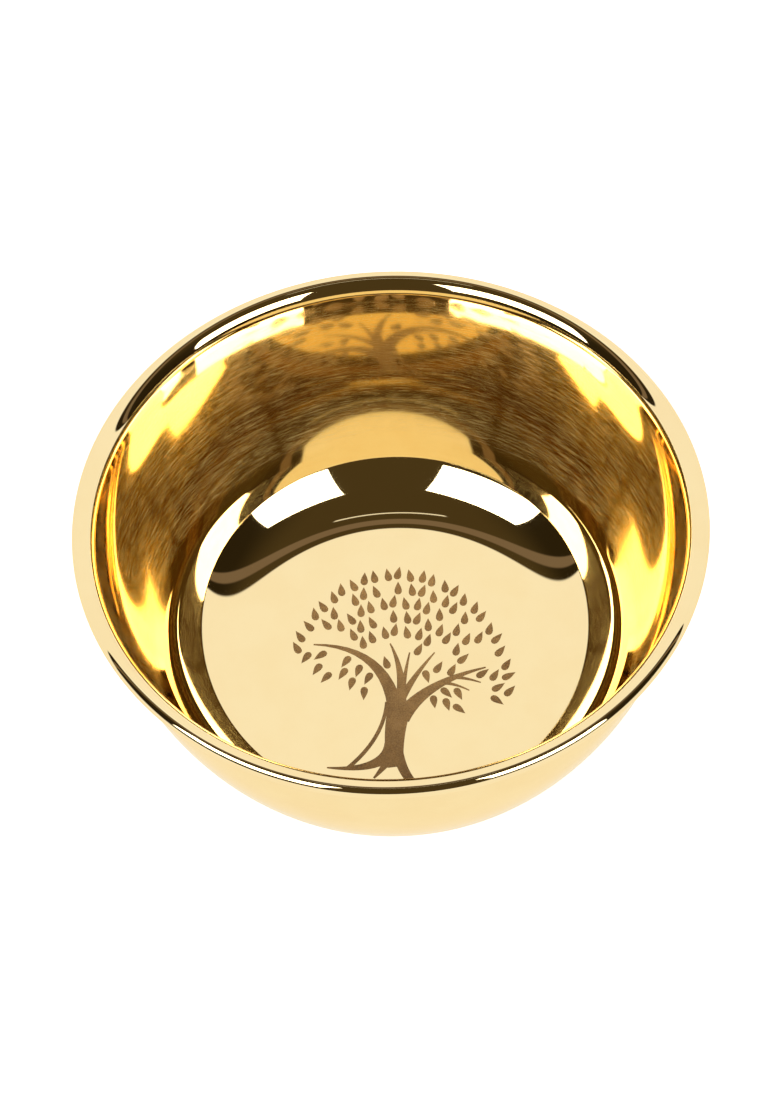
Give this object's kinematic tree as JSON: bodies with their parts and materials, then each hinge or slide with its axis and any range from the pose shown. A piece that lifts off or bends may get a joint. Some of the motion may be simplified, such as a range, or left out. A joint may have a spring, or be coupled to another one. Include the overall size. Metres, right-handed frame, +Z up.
{
  "type": "offering bowl",
  "caption": "Small round brass offering bowl with a leaning wall, a flared lip curled round a wire and a dark tree of life filled into its flat inner floor.",
  "frame": {"origin": "centre of the flat foot, on the surface that the bowl stands on", "axes": "+Z up along the bowl's axis, +Y towards the tree's crown, +X to the tree's right"},
  "size_m": [0.076, 0.076, 0.0305],
  "materials": {
    "polished_brass": "mirror polished",
    "wire_brass": "drawn",
    "dark_enamel": "matte"
  },
  "bodies": {
    "root": {"bowl_shell": "polished_brass", "rim_wire": "wire_brass", "tree_fill": "dark_enamel", "leaf_fill": "dark_enamel"}
  },
  "joints": []
}
